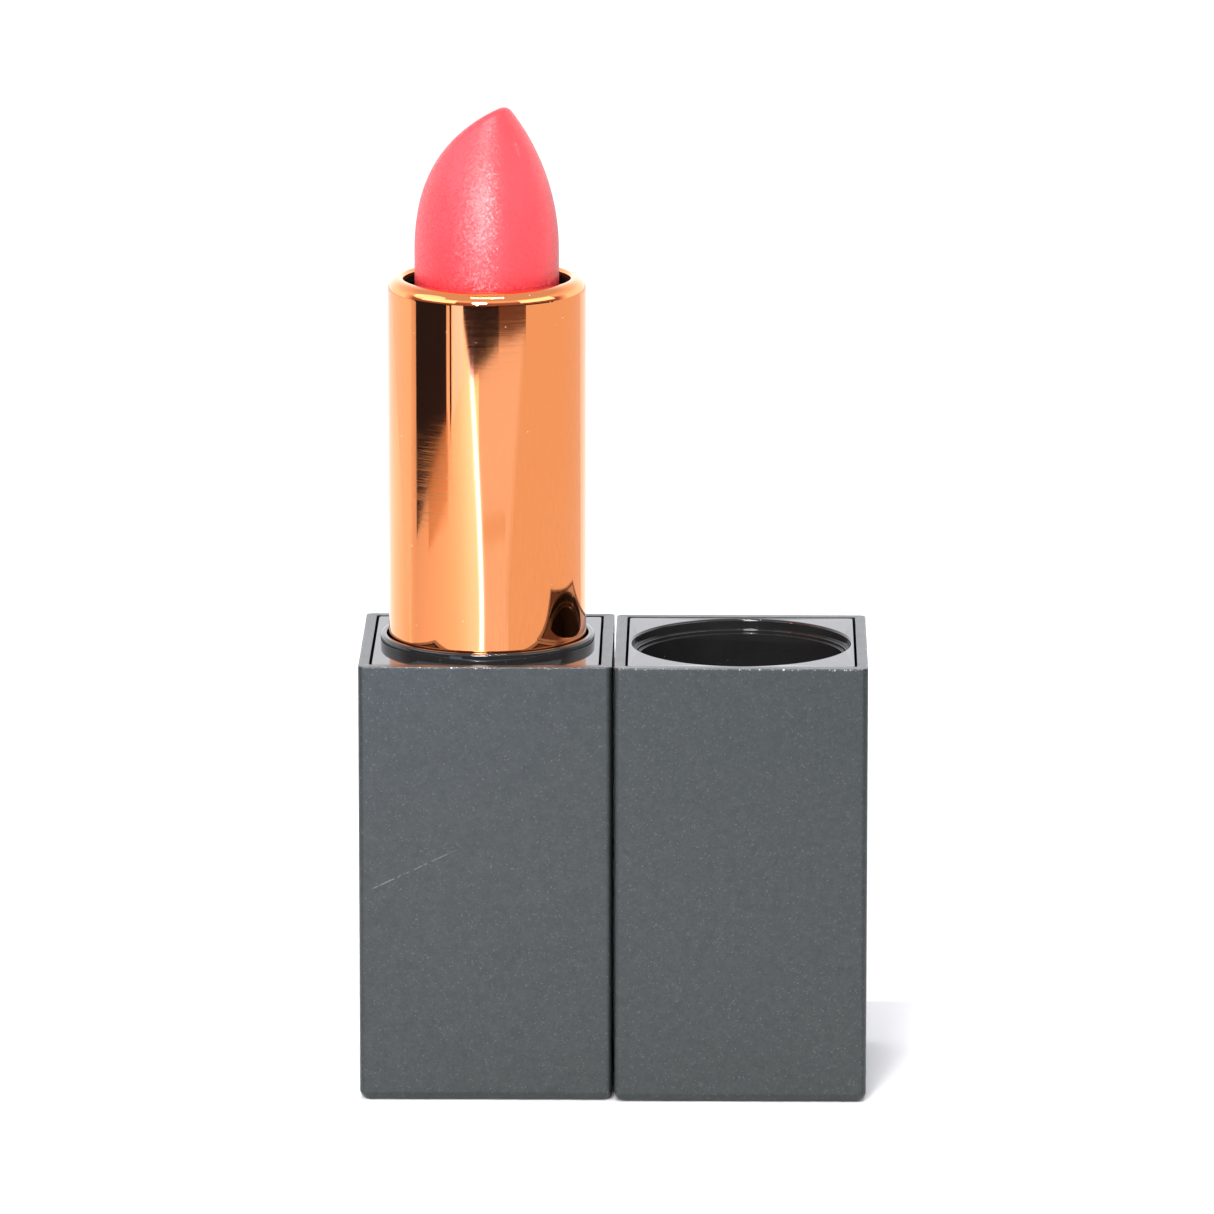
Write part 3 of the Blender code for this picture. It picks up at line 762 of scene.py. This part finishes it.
# Flags and cards that the metal tube mirrors, as plain sectors round it: painted reflections, seen in glossy
# reflections only. Their numbers are rounded and fitted to the reflections in the photo. Each has its first
# and last azimuth in degrees (0 in front, 90 to the right), its inner and its outer radius at those two, its
# bottom, its top and its colour. Low ones are glowing patches that paint the floor's reflection in the tube
# without tinting the floor itself, tall dark ones are flags, and the two raised ones are bright.
DARK = (0.024, 0.028, 0.050)
BROWN = (0.150, 0.100, 0.110)
RUSTY = (0.780, 0.640, 0.520)
PEACH = (1.050, 1.280, 1.350)
GLOW = (1.300, 1.700, 2.400)
DULL = (0.940, 0.945, 0.920)
PINKISH = (1.060, 1.180, 1.400)
BETWEEN = (0.990, 1.060, 1.150)
CARD = (2.800, 2.800, 3.000)
FLAG_STEPS = 16
FLAGS = {
    "flag_left": ((-88, -46), (230, 290), (800, 800), 0, 42, DARK),
    "flag_left_soft": ((-70, -44), (225, 250), (265, 300), 0, 0.5, RUSTY),
    "flag_left_line": ((-42, -40), (285, 300), (640, 640), 0, 42, DARK),
    "flag_front_left": ((-26, -17), (360, 320), (600, 600), 0, 36, DARK),
    "flag_front": ((-17, 15), (320, 340), (600, 600), 0, 36, DARK),
    "flag_front_edge": ((15, 47), (345, 350), (590, 590), 0, 22, BROWN),
    "flag_right_near": ((25, 46), (150, 130), (205, 355), 0, 0.4, DULL),
    "flag_right": ((46, 140), (130, 130), (900, 900), 0, 0.4, DULL),
    "flag_right_soft": ((22, 46), (180, 347), (208, 363), 0, 0.5, BETWEEN),
    "flag_middle": ((-8, 46), (140, 140), (335, 350), 0, 0.3, PINKISH),
    "flag_leaf": ((-5, 22), (228, 232), (241, 244), 0, 0.5, DULL),
    "flag_side": ((-150, -97), (400, 160), (900, 700), 0, 0.4, PEACH),
    "flag_gap": ((-39, -26), (295, 325), (640, 640), 0, 0.35, GLOW),
    "wall_left": ((-90, -40), (404, 404), (470, 420), 0, 60, DARK),
    "wall_right": ((12, 84), (408, 442), (425, 465), 0, 60, DARK),
    "card_left": ((-81, -36), (496, 496), (502, 502), 175, 420, CARD),
    "card_right": ((41, 88), (500, 515), (506, 521), 175, 420, CARD),
}


def sector(azimuths, inner, outer, height):
    """The outline of a sector round the tube, in metres, its radii changing evenly with the azimuth."""
    points = []
    for radii, steps in ((inner, range(FLAG_STEPS + 1)), (outer, range(FLAG_STEPS, -1, -1))):
        for step in steps:
            share = step / FLAG_STEPS
            angle = math.radians(azimuths[0] + (azimuths[1] - azimuths[0]) * share)
            radius = radii[0] + (radii[1] - radii[0]) * share
            points.append(Vector((radius * math.sin(angle), -radius * math.cos(angle), height)) * MM)
    return points


def flags():
    """One closed block for each flag, card and floor patch."""
    for name, (azimuths, inner, outer, bottom, top, colour) in FLAGS.items():
        mesh_data = bmesh.new()
        lower = [mesh_data.verts.new(point) for point in sector(azimuths, inner, outer, bottom)]
        upper = [mesh_data.verts.new(point) for point in sector(azimuths, inner, outer, top)]
        mesh_data.faces.new(lower)
        mesh_data.faces.new(upper)
        for i in range(len(lower)):
            j = (i + 1) % len(lower)
            mesh_data.faces.new((lower[i], lower[j], upper[j], upper[i]))
        bmesh.ops.recalc_face_normals(mesh_data, faces=mesh_data.faces)
        mesh = bpy.data.meshes.new(name)
        mesh_data.to_mesh(mesh)
        mesh_data.free()
        only_reflected(put(name, mesh, emitter(name, colour)))


# A streak of light on the floor in front, as a glossy table gives. It bends to the left as it goes.
STREAK_NEAR = 150.0
STREAK_FAR = 316.0
STREAK_STEPS = 40
STREAK_ASIDE = 18.0
STREAK_BEND = 0.0046
STREAK_BEND_FROM = 180.0
STREAK_HALF = 180.0
STREAK_HEIGHT = 0.6
STREAK_COLOUR = (0.7, 0.85, 1.9, 1.0)
STREAK_CORE = 5.0
STREAK_WIDTH = 5.5
STREAK_SPREAD = 1.1
STREAK_HALO = 0.46
STREAK_HALO_LEFT = 9.0
STREAK_HALO_RIGHT = 1.8


def streak_glow():
    """A clear material that adds light: a bright core, and a halo that is wider on the left."""
    finish = Finish("light_streak")
    place = finish.add("ShaderNodeAttribute", attribute_name="aside").outputs["Fac"]

    def bell(peak, width):
        share = finish.maths("DIVIDE", place, width)
        fall = finish.maths("MULTIPLY", finish.maths("MULTIPLY", share, share), -1.0)
        return finish.maths("MULTIPLY", finish.maths("EXPONENT", fall), peak)

    is_right = finish.maths("GREATER_THAN", place, 0.0)
    right = finish.maths("MULTIPLY", bell(STREAK_HALO, STREAK_HALO_RIGHT), is_right)
    is_left = finish.maths("SUBTRACT", 1.0, is_right)
    left = finish.maths("MULTIPLY", bell(STREAK_HALO, STREAK_HALO_LEFT), is_left)
    strength = finish.maths("ADD", bell(STREAK_CORE, 1.0), finish.maths("ADD", left, right))
    glow = finish.add("ShaderNodeEmission", {"Color": STREAK_COLOUR, "Strength": strength})
    clear = finish.add("ShaderNodeBsdfTransparent")
    both = finish.add("ShaderNodeAddShader", {0: glow.outputs[0], 1: clear.outputs[0]})
    output = next(n for n in finish.tree.nodes if n.type == "OUTPUT_MATERIAL")
    finish.tree.links.new(both.outputs[0], output.inputs["Surface"])
    finish.tree.nodes.remove(finish.shader)
    return finish.material


def light_streak():
    """A see-through strip on the floor that adds the streak's light to what the tube mirrors."""
    strip = bmesh.new()
    aside = strip.verts.layers.float.new("aside")
    rows = []
    for step in range(STREAK_STEPS + 1):
        distance = STREAK_NEAR + (STREAK_FAR - STREAK_NEAR) * step / STREAK_STEPS
        middle = -STREAK_ASIDE - STREAK_BEND * max(distance - STREAK_BEND_FROM, 0.0) ** 2
        width = STREAK_WIDTH * (distance / STREAK_NEAR) ** STREAK_SPREAD
        row = []
        for side in (-STREAK_HALF, STREAK_HALF):
            row.append(strip.verts.new((middle + side, -distance, STREAK_HEIGHT)))
            row[-1][aside] = side / width
        rows.append(row)
    for near, far in zip(rows, rows[1:]):
        strip.faces.new((near[0], near[1], far[1], far[0]))
    bmesh.ops.scale(strip, vec=(MM, MM, MM), verts=strip.verts)
    mesh = bpy.data.meshes.new("light_streak")
    strip.to_mesh(mesh)
    strip.free()
    only_reflected(put("light_streak", mesh, streak_glow()))


# Lights: azimuth, elevation, distance, size, power in watts and colour. The key is soft, the flash small and
# near the camera, and the fill wide and to the left.
LIGHT_TARGET = (5.0, 0.0, 45.0)
LIGHTS = {
    "key": (-8.0, 23.0, 430.0, 118.0, 1.9, (1.0, 1.0, 1.0)),
    "flash": (-10.0, 5.0, 700.0, 12.0, 1.9, (1.0, 0.98, 1.0)),
    "fill": (-80.0, 35.0, 700.0, 480.0, 1.0, (0.94, 0.97, 1.08)),
}

# A row of small lamps overhead in front: their count, spread, place and power.
LAMPS = 12
LAMP_SPREAD = 230.0
LAMP_PLACE = (10.0, -175.0, 560.0)
LAMP_SIZE = 9.0
LAMP_POWER = 0.15
LAMP_COLOUR = (0.95, 0.97, 1.0)


def around(target, distance, azimuth, elevation):
    """A point in metres at a distance from the target, with azimuth 0 in front and 90 to the right."""
    a, e = math.radians(azimuth), math.radians(elevation)
    away = Vector((math.sin(a) * math.cos(e), -math.cos(a) * math.cos(e), math.sin(e)))
    return (Vector(target) + away * distance) * MM


def aim(made, place, target):
    made.location = place
    made.rotation_euler = (Vector(target) * MM - place).to_track_quat("-Z", "Y").to_euler()
    bpy.context.scene.collection.objects.link(made)


def disk_light(name, size, power, colour, place, target):
    light = bpy.data.lights.new(name, "AREA")
    light.shape = "DISK"
    light.size = size * MM
    light.energy = power
    light.color = colour
    aim(bpy.data.objects.new(name, light), place, target)


def lights():
    """The three studio lights and the row of small lamps."""
    for name, (azimuth, elevation, distance, size, power, colour) in LIGHTS.items():
        place = around(LIGHT_TARGET, distance, azimuth, elevation)
        disk_light(name, size, power, colour, place, LIGHT_TARGET)
    for number in range(LAMPS):
        share = number / (LAMPS - 1) - 0.5
        place = (Vector(LAMP_PLACE) + Vector((share * LAMP_SPREAD, 0.0, 0.0))) * MM
        disk_light(f"lamp_{number + 1}", LAMP_SIZE, LAMP_POWER, LAMP_COLOUR, place, LIGHT_TARGET)


# Surrounding light: bright towards the horizon at the sides and back, softer overhead, and dim low in front,
# where the room is.
SKY_COLOUR = (0.985, 0.99, 1.03, 1.0)
SKY_LOW = 1.75
SKY_HIGH = 0.80
SKY_LOW_UNTIL = 0.25
SKY_HIGH_FROM = 0.70
ROOM_COLOUR = (1.0, 0.60, 0.65, 1.0)
ROOM_SHARE = 0.80
ROOM_AHEAD = (0.05, 0.35)
ROOM_HEIGHT = (0.30, 0.50)


def surroundings():
    """The light from all round, by height and from front to back."""
    world = bpy.data.worlds.new("studio")
    bpy.context.scene.world = world
    world.use_nodes = True
    tree = world.node_tree
    place = tree.nodes.new("ShaderNodeTexCoord")
    parts = tree.nodes.new("ShaderNodeSeparateXYZ")
    tree.links.new(place.outputs["Generated"], parts.inputs[0])

    def span(part, *values):
        made = tree.nodes.new("ShaderNodeMapRange")
        for index, value in enumerate(values, start=1):
            made.inputs[index].default_value = value
        tree.links.new(parts.outputs[part], made.inputs[0])
        return made.outputs[0]

    def times(a, b):
        made = tree.nodes.new("ShaderNodeMath")
        made.operation = "MULTIPLY"
        tree.links.new(a, made.inputs[0])
        tree.links.new(b, made.inputs[1])
        return made.outputs[0]

    sky = span("Z", SKY_LOW_UNTIL, SKY_HIGH_FROM, SKY_LOW, SKY_HIGH)
    ahead = span("Y", *ROOM_AHEAD, ROOM_SHARE, 0.0)
    room = times(ahead, span("Z", *ROOM_HEIGHT, 1.0, 0.0))
    open_share = tree.nodes.new("ShaderNodeMath")
    open_share.operation = "SUBTRACT"
    open_share.inputs[0].default_value = 1.0
    tree.links.new(room, open_share.inputs[1])
    background = tree.nodes["Background"]
    tint = tree.nodes.new("ShaderNodeMix")
    tint.data_type = "RGBA"
    tint.inputs["A"].default_value = SKY_COLOUR
    tint.inputs["B"].default_value = ROOM_COLOUR
    tree.links.new(room, tint.inputs["Factor"])
    tree.links.new(tint.outputs["Result"], background.inputs["Color"])
    tree.links.new(times(sky, open_share.outputs[0]), background.inputs["Strength"])


def camera():
    """A long lens on the case, with no shift and no depth of field."""
    data = bpy.data.cameras.new("camera")
    data.lens = CAMERA_LENS
    data.sensor_width = CAMERA_SENSOR
    data.clip_start = CAMERA_NEAR * MM
    data.clip_end = CAMERA_FAR * MM
    made = bpy.data.objects.new("camera", data)
    place = around(CAMERA_TARGET, CAMERA_DISTANCE, CAMERA_AZIMUTH, CAMERA_ELEVATION)
    aim(made, place, CAMERA_TARGET)
    bpy.context.scene.camera = made
    bpy.context.scene.view_settings.view_transform = "Standard"


# ---------------------------------------------------------------- the case


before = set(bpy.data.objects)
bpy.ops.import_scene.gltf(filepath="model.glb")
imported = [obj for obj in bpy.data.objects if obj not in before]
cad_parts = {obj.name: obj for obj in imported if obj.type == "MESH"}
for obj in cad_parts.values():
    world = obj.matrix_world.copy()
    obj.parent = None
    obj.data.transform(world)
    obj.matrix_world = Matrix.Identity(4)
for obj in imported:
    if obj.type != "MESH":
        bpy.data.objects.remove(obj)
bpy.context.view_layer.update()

black = gloss_moulding()
shell("base_case", "base_shell", "base", lacquer("base_lacquer", SCRATCHES), True)
shell("cap_case", "cap_shell", "cap", lacquer("cap_lacquer", []), False)
moulding("base_moulding", "base_insert", "base", black, socket)
moulding("cap_moulding", "cap_liner", "cap", black, bore)
metal_tube(rose_gold())
wax_bullet(coral_wax())

mechanism_black = moulded_plastic("mechanism_black", (0.010, 0.010, 0.010), (0.022, 0.022, 0.022), 0.32)
give("inner_body", mechanism_black)
give("bullet_cup", mechanism_black)
give("spiral_sleeve", moulded_plastic("mechanism_white", (0.70, 0.70, 0.67), (0.82, 0.82, 0.80), 0.42))
give("torque_ring", moulded_plastic("ring_rubber", (0.030, 0.030, 0.030), (0.055, 0.055, 0.055), 0.72))
give("shade_label", moulded_plastic("label_film", (0.76, 0.76, 0.75), (0.86, 0.86, 0.86), 0.45))
give("base_weight", turned_metal("bare_steel", (0.46, 0.46, 0.47), (0.60, 0.60, 0.60), 0.34))
nickel = turned_metal("nickel_plate", (0.60, 0.59, 0.57), (0.72, 0.71, 0.69), 0.22)
for number in range(1, 5):
    give(f"base_magnet_{number}", nickel)
    give(f"cap_magnet_{number}", nickel)

floor()
flags()
light_streak()
lights()
surroundings()
camera()
